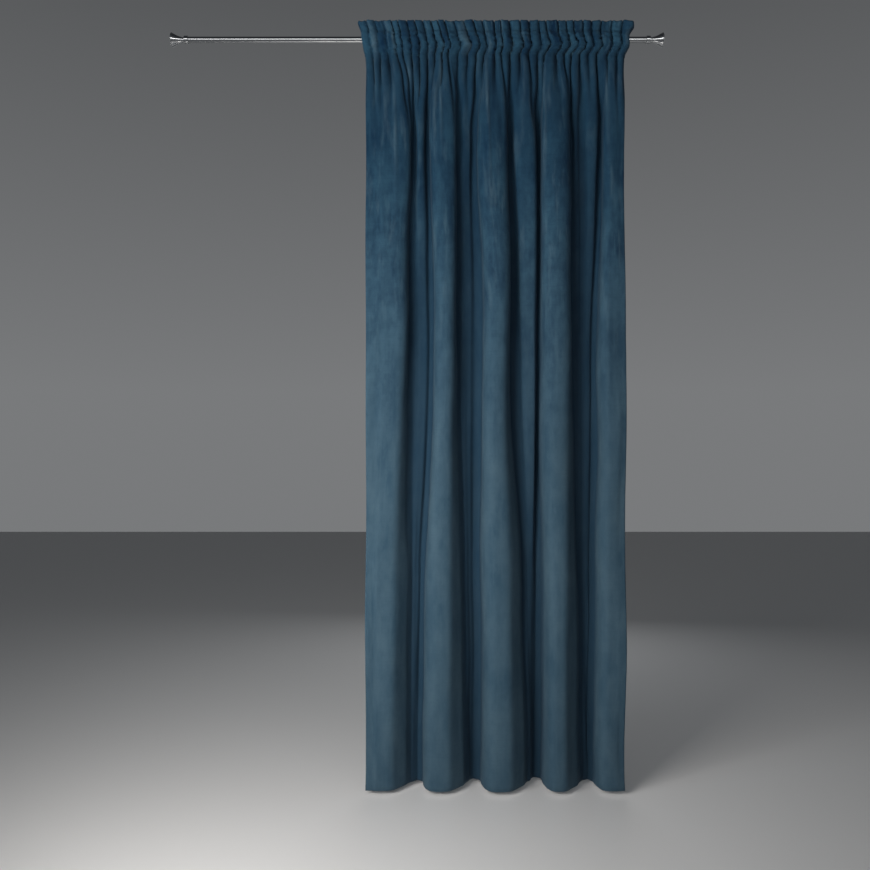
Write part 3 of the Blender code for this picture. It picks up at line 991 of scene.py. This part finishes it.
bump = add_node(nodes, "ShaderNodeBump", Strength=0.4, Distance=0.0004)
links.new(weave, bump.inputs["Height"])
links.new(bump.outputs["Normal"], shader.inputs["Normal"])
print("woven back:", len(nodes), "nodes")

# %% [markdown]
# The sheet gets its thickness last, half to each side, and the new side is given the woven
# finish. So the pile shows in front and the weave behind, as on the real cloth.

# %% Thickness
panel.data.materials.clear()
panel.data.materials.append(velvet_pile)
panel.data.materials.append(woven)
thickness = panel.modifiers.new("cloth thickness", "SOLIDIFY")
thickness.thickness = CLOTH_THICKNESS / 1000
thickness.offset = 0.0
thickness.material_offset = 1
apply_modifiers(panel)
print("the cloth has", len(panel.data.polygons), "faces with its thickness")

# %% [markdown]
# ## Stitches
#
# Two rows of thread close the tunnel for the rod. One stitch is modelled once, as a short
# rounded bar, and copied along each row: every copy turns with the cloth under it.

# %% One stitch
STITCH_LENGTH = 3.0
STITCH_RADIUS = 0.38
STITCH_PITCH = 4.0

deselect_all()
bpy.ops.mesh.primitive_cylinder_add(
    vertices=8, radius=STITCH_RADIUS / 1000, depth=STITCH_LENGTH / 1000, rotation=(0, math.pi / 2, 0)
)
stitch = bpy.context.object
settle(stitch)
bpy.ops.object.mode_set(mode="EDIT")
bpy.ops.mesh.select_all(action="SELECT")
bpy.ops.mesh.remove_doubles(threshold=0.00001)
bpy.ops.mesh.select_all(action="DESELECT")
cage = bmesh.from_edit_mesh(stitch.data)
for edge in cage.edges:
    ends = [abs(vert.co.x) > STITCH_LENGTH / 2000 - 1e-6 for vert in edge.verts]
    edge.select = all(ends)
bmesh.update_edit_mesh(stitch.data)
bpy.ops.mesh.bevel(offset=STITCH_RADIUS / 1600, segments=1, affect="EDGES")
bpy.ops.object.mode_set(mode="OBJECT")
stitch_points = np.array([vert.co for vert in stitch.data.vertices])
stitch_faces = [tuple(face.vertices) for face in stitch.data.polygons]
bpy.data.objects.remove(stitch, do_unlink=True)
print("one stitch has", len(stitch_faces), "faces")

# %% [markdown]
# A seam follows the cloth, so the row is measured along the cloth's own line and not straight
# across. At each mark a copy of the stitch is turned to lie along the cloth, half sunk in it.

# %% Rows of stitches
stitch_normals = pile_normals(surface)


def stitch_row(distance):
    """Copies of the stitch along the cloth's pile side, at one distance from the hem."""
    row = int(np.argmin(np.abs(distances - distance)))
    line, normal = surface[row], stitch_normals[row]
    travel = np.concatenate([[0.0], np.cumsum(np.linalg.norm(np.diff(line, axis=0), axis=1))])
    marks = np.arange(STITCH_PITCH * 2, travel[-1] - STITCH_PITCH * 2, STITCH_PITCH)
    points = []
    for mark in marks:
        here, ahead = (
            np.array([np.interp(mark + step, travel, line[:, axis]) for axis in range(3)])
            for step in (-STITCH_LENGTH / 2, STITCH_LENGTH / 2)
        )
        off = np.array([np.interp(mark, travel, normal[:, axis]) for axis in range(3)])
        along = (ahead - here) / np.linalg.norm(ahead - here)
        off = off - along * off.dot(along)
        off = off / np.linalg.norm(off)
        turn = np.stack([along, np.cross(off, along), off], axis=1)
        middle = (here + ahead) / 2 + off * (CLOTH_THICKNESS / 2 + STITCH_RADIUS * 0.4)
        points.append(stitch_points @ turn.T + middle / 1000)
    return points


first_row = stitch_row(way[LOWER_STITCHES])
print("one row has", len(first_row), "stitches")

# %% [markdown]
# Both seams go through the front and the back of the pocket, so there are four rows to see,
# two on each side. All the stitches are joined into one piece of thread.

# %% All the stitches in one piece
copies = []
for station in (LOWER_STITCHES, UPPER_STITCHES, BACK_UPPER_STITCHES, BACK_LOWER_STITCHES):
    copies += stitch_row(way[station])
count = len(stitch_points)
faces = []
for copy in range(len(copies)):
    faces += [tuple(corner + count * copy for corner in face) for face in stitch_faces]
thread_mesh = bpy.data.meshes.new("pocket_stitches")
thread_mesh.from_pydata(np.concatenate(copies).tolist(), [], faces)
threads_piece = bpy.data.objects.new("pocket_stitches", thread_mesh)
bpy.context.scene.collection.objects.link(threads_piece)
take(threads_piece)
bpy.ops.object.mode_set(mode="EDIT")
bpy.ops.mesh.select_all(action="SELECT")
bpy.ops.mesh.normals_make_consistent(inside=False)
bpy.ops.object.mode_set(mode="OBJECT")
thread_mesh.shade_smooth()
print(len(copies), "stitches")

# %% [markdown]
# The thread is dyed to match the velvet. A very fine noise darkens and lightens it like the
# twist of its strands.

# %% Thread
THREAD_DEEP = (0.012, 0.040, 0.070, 1)
THREAD_PALE = (0.035, 0.090, 0.135, 1)

thread, nodes, links = new_finish("sewing_thread")
shader = nodes["Principled BSDF"]
place_on_thread = nodes.new("ShaderNodeTexCoord").outputs["Object"]
twist = noise_on(nodes, links, place_on_thread, (1.0, 1.0, 1.0), 2500.0, 2.0, 0.5)
tone = blend_colours(nodes, links, twist, THREAD_DEEP, THREAD_PALE)
links.new(tone, shader.inputs["Base Color"])
shader.inputs["Roughness"].default_value = 0.6
thread_mesh.materials.append(thread)
print("thread roughness", round(shader.inputs["Roughness"].default_value, 2))

# %% [markdown]
# ## The rod
#
# The rod is a thin-walled metal tube. A finial shaped like a small trumpet plugs into each end
# of it, and a collar sits on the finial's spigot, just past the end of the tube. Turned pieces
# like these start as a cylinder lying along the rod, and are then drawn out step by step from
# their end face, as on a lathe.

# %% Sizes of the rod
rod_low, rod_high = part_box("rod_tube")
collar_low, collar_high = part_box("collar_right")
finial_low, finial_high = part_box("finial_right")
ROD_RADIUS = (rod_high[2] - rod_low[2]) / 2
ROD_END = rod_high[0]
TUBE_WALL = 0.001
ROUND_SIDES = 64


def lying_cylinder(start_x, end_x, radius):
    """A closed cylinder along the rod's own line."""
    deselect_all()
    bpy.ops.mesh.primitive_cylinder_add(
        vertices=ROUND_SIDES, radius=radius, depth=end_x - start_x,
        location=((start_x + end_x) / 2, 0, 0), rotation=(0, math.pi / 2, 0),
    )
    settle(bpy.context.object)
    return bpy.context.object


def select_faces(obj, test):
    """Selects the faces that pass a test, and nothing else. Edit mode must be on."""
    bpy.ops.mesh.select_all(action="DESELECT")
    cage = bmesh.from_edit_mesh(obj.data)
    for face in cage.faces:
        face.select = test(face)
    cage.select_flush_mode()
    bmesh.update_edit_mesh(obj.data)


print("rod", round(ROD_RADIUS * 2000, 1), "mm thick,", round(float(ROD_END) * 2, 2), "m long")

# %% [markdown]
# Tube and collar are both rings cut from pipe. A solid cylinder is opened from end to end, the
# two cut rims are joined to make the wall, and the rims are softened as a file would.

# %% Tube and collar


def hollow_ring(name, start_x, end_x, radius, wall, edge):
    """A cylinder opened from end to end, with softened rims."""
    ring = lying_cylinder(start_x, end_x, radius)
    bpy.ops.object.mode_set(mode="EDIT")
    bpy.ops.mesh.select_mode(type="FACE")
    select_faces(ring, lambda face: abs(face.normal.x) > 0.9)
    bpy.ops.mesh.inset(thickness=wall, use_individual=True)
    bpy.ops.mesh.delete(type="FACE")
    bpy.ops.mesh.select_mode(type="EDGE")
    bpy.ops.mesh.select_non_manifold(extend=False, use_boundary=True)
    bpy.ops.mesh.bridge_edge_loops()
    bpy.ops.mesh.select_all(action="SELECT")
    bpy.ops.mesh.normals_make_consistent(inside=False)
    bpy.ops.object.mode_set(mode="OBJECT")
    rim = ring.modifiers.new("soft rims", "BEVEL")
    rim.width = edge
    rim.segments = 3
    rim.limit_method = "ANGLE"
    rim.angle_limit = math.radians(50)
    apply_modifiers(ring)
    bpy.ops.object.shade_smooth_by_angle(angle=math.radians(32))
    print(name, "is", round((end_x - start_x) * 1000, 1), "mm long")
    return ring


TUBE_EDGE = 0.0002
COLLAR_EDGE = 0.0011
tube = hollow_ring("tube", rod_low[0], rod_high[0], ROD_RADIUS, TUBE_WALL, TUBE_EDGE)
collar_radius = (collar_high[2] - collar_low[2]) / 2
collar_wall = collar_radius - ROD_RADIUS + TUBE_WALL
collar = hollow_ring("collar", collar_low[0], collar_high[0], collar_radius, collar_wall, COLLAR_EDGE)

# %% [markdown]
# The finial is turned from one bar. It starts as the spigot inside the tube, and its end face
# is then drawn out to each new place and radius: the neck first.

# %% Finial's spigot and neck
FIT_GAP = 0.0003
NECK_RADIUS = 0.0088
NECK_LENGTH = 0.008
HEAD_ROOT_RADIUS = 0.0105
HEAD_LENGTH = 0.036
RIM_THICKNESS = 0.004
rim_radius = (finial_high[2] - finial_low[2]) / 2
spigot_radius = ROD_RADIUS - TUBE_WALL - FIT_GAP
neck_start = collar_high[0] + FIT_GAP
head_start = neck_start + NECK_LENGTH
rim_start = head_start + HEAD_LENGTH - RIM_THICKNESS
nose_rise = finial_high[0] - rim_start - RIM_THICKNESS

finial = lying_cylinder(finial_low[0], neck_start, spigot_radius)
bpy.ops.object.mode_set(mode="EDIT")
bpy.ops.mesh.select_mode(type="FACE")
select_faces(finial, lambda face: face.normal.x > 0.9)
turned_so_far = [neck_start, spigot_radius]


def turn_to(x, radius):
    """Draws the end face out to a new place and radius."""
    bpy.ops.mesh.extrude_region_move(TRANSFORM_OT_translate={"value": (x - turned_so_far[0], 0, 0)})
    scale = radius / turned_so_far[1]
    bpy.ops.transform.resize(value=(1, scale, scale), center_override=(x, 0, 0))
    turned_so_far[:] = [x, radius]


turn_to(neck_start, NECK_RADIUS)
turn_to(head_start, NECK_RADIUS)
turn_to(head_start, HEAD_ROOT_RADIUS)
print("neck ends", round(float(head_start - ROD_END) * 1000, 1), "mm past the tube")

# %% [markdown]
# The head opens like a trumpet, slowly at first and then quickly. Its rim is rounded over, and
# the front is a low dome that ends in a point at the middle.

# %% Finial's head
FLARE_STEPS = 12
FLARE_POWER = 1.7
RIM_UNDERCUT = 0.002
for step in range(1, FLARE_STEPS + 1):
    share = step / FLARE_STEPS
    flare = HEAD_ROOT_RADIUS + (rim_radius - HEAD_ROOT_RADIUS) * share**FLARE_POWER
    turn_to(head_start + share * (rim_start - head_start), flare - RIM_UNDERCUT * share**8)
RIM_STEPS = 7
for step in range(1, RIM_STEPS + 1):
    angle = math.pi * step / (RIM_STEPS + 1)
    out = rim_radius - RIM_THICKNESS / 2 * (1 - math.sin(angle))
    turn_to(rim_start + RIM_THICKNESS / 2 * (1 - math.cos(angle)), out)
NOSE_STEPS = 8
for step in range(NOSE_STEPS, 0, -1):
    angle = math.pi / 2 * step / NOSE_STEPS
    reach = (rim_radius - RIM_THICKNESS / 2) * math.sin(angle)
    turn_to(rim_start + RIM_THICKNESS + nose_rise * math.cos(angle), reach)
bpy.ops.mesh.merge(type="CENTER")
print("head drawn out in", FLARE_STEPS + RIM_STEPS + NOSE_STEPS, "steps")

# %% [markdown]
# The dome's last point is set on the finial's full length, and the piece is closed.

# %% Finial closed
nose = bmesh.from_edit_mesh(finial.data)
for vert in nose.verts:
    if vert.select:
        vert.co.x = finial_high[0]
bmesh.update_edit_mesh(finial.data)
bpy.ops.mesh.select_all(action="SELECT")
bpy.ops.mesh.normals_make_consistent(inside=False)
bpy.ops.object.mode_set(mode="OBJECT")
bpy.ops.object.shade_smooth_by_angle(angle=math.radians(32))
print("finial", round((finial_high[0] - finial_low[0]) * 1000, 1), "mm long")

# %% [markdown]
# The left end is the right end turned half round, and each copy has a mesh of its own.

# %% Left end


def turned_copy(obj):
    take(obj)
    bpy.ops.object.duplicate(linked=False)
    copy = bpy.context.object
    copy.rotation_euler = (0, 0, math.pi)
    settle(copy)
    return copy


left_collar = turned_copy(collar)
left_finial = turned_copy(finial)
print("left finial's tip at", round(min(vert.co.x for vert in left_finial.data.vertices), 4), "m")

# %% [markdown]
# ## Polished metal
#
# Plating is a mirror with faint wipe marks: only the roughness changes, along the rod and
# round it, and the room's soft lights do the rest.

# %% Polished metal
PLATING = (0.74, 0.75, 0.76, 1)

polish, nodes, links = new_finish("polished_metal")
shader = nodes["Principled BSDF"]
on_rod = nodes.new("ShaderNodeTexCoord").outputs["Object"]
wipes = noise_on(nodes, links, on_rod, (0.2, 9.0, 9.0), 14.0, 4.0, 0.55)
gloss = nodes.new("ShaderNodeMapRange")
gloss.inputs["To Min"].default_value = 0.06
gloss.inputs["To Max"].default_value = 0.09
links.new(wipes, gloss.inputs["Value"])
links.new(gloss.outputs["Result"], shader.inputs["Roughness"])
shader.inputs["Base Color"].default_value = PLATING
shader.inputs["Metallic"].default_value = 1.0
print("plating:", len(nodes), "nodes")

# %% [markdown]
# Every piece of the rod takes the place of its plain part under a name of its own.

# %% The rod is handed over
for piece, name, node in (
    (tube, "rod_tube_polished", "rod_tube"),
    (collar, "collar_right_polished", "collar_right"),
    (left_collar, "collar_left_polished", "collar_left"),
    (finial, "finial_right_polished", "finial_right"),
    (left_finial, "finial_left_polished", "finial_left"),
):
    piece.data.materials.clear()
    piece.data.materials.append(polish)
    hand_over(piece, name, "polished_metal", node)
    print(name, "takes the place of", node)

# %% [markdown]
# The cloth stands for the plain panel, and the thread goes with it.

# %% The curtain is handed over
hand_over(panel, "velvet_curtain", "velvet", "velvet_panel")
hand_over(threads_piece, "pocket_stitches", "velvet")

# %% [markdown]
# ## Floor and light
#
# The curtain hangs just clear of a pale floor, which throws a little light back up into the
# folds. The floor is part of the stage and not of the curtain.

# %% Floor
FLOOR_GAP = 0.018
FLOOR_Z = HEM_Z / 1000 - FLOOR_GAP
FLOOR_TONE = (0.64, 0.65, 0.66, 1)
deselect_all()
bpy.ops.mesh.primitive_plane_add(size=14, location=(0, 1.0, FLOOR_Z))
floor = bpy.context.object
floor.name = "floor"
floor_finish, nodes, links = new_finish("pale_floor")
nodes["Principled BSDF"].inputs["Base Color"].default_value = FLOOR_TONE
nodes["Principled BSDF"].inputs["Roughness"].default_value = 0.35
floor.data.materials.append(floor_finish)
print("floor", round((HEM_Z / 1000 - FLOOR_Z) * 1000), "mm under the hem")

# %% [markdown]
# One wide soft lamp stands to the left at the height of the curtain's middle. It lights the
# left side of each fold and leaves the right side in shade, and its light falls away towards
# the top and the floor. A small lamp above picks out the heading, and a long thin one gives
# the rod its bright line. A weak one behind shows the woven back. Only the long lamp is seen
# in the metal.

# %% Lamps


def soft_light(name, place, aim, size, power, colour=(1, 1, 1)):
    data = bpy.data.lights.new(name, "AREA")
    data.shape = "RECTANGLE"
    data.size, data.size_y = size
    data.energy = power
    data.color = colour
    lamp = bpy.data.objects.new(name, data)
    lamp.location = place
    lamp.visible_camera = False
    lamp.rotation_euler = (Vector(aim) - Vector(place)).to_track_quat("-Z", "Y").to_euler()
    bpy.context.scene.collection.objects.link(lamp)
    print(name, "lamp of", power, "W at", place)


soft_light("key", (-0.86, -1.50, -1.46), (0.30, 0, -1.50), (1.0, 1.0), 47, (1.0, 0.95, 0.90))
soft_light("heading", (-0.85, -0.85, 0.90), (0.3, 0, 0.0), (0.6, 0.6), 8.0, (0.85, 0.94, 1.0))
soft_light("rod_strip", (0, -4.2, 0.78), (0, 0, 0), (7.0, 0.40), 42)
soft_light("behind", (0.6, 2.6, -0.9), (0.27, 0, -1.3), (1.6, 1.6), 14)
for name in ("key", "heading", "behind"):
    bpy.data.objects[name].visible_glossy = False

# %% [markdown]
# The room itself is a dim even grey that fills the shaded sides a little. It is darker
# overhead, and that shows as the dark line along the top of the polished rod.

# %% Room
ROOM_TONE = (0.19, 0.195, 0.20, 1)
OVERHEAD_TONE = (0.022, 0.024, 0.027, 1)

world = bpy.data.worlds.new("studio")
world.use_nodes = True
nodes, links = world.node_tree.nodes, world.node_tree.links
direction = nodes.new("ShaderNodeSeparateXYZ")
links.new(nodes.new("ShaderNodeTexCoord").outputs["Generated"], direction.inputs["Vector"])
overhead = ramp(nodes, links, direction.outputs["Z"], 0.05, 0.75)
sky = blend_colours(nodes, links, overhead, ROOM_TONE, OVERHEAD_TONE)
links.new(sky, nodes["Background"].inputs["Color"])
bpy.context.scene.world = world
print("room light:", world.name)
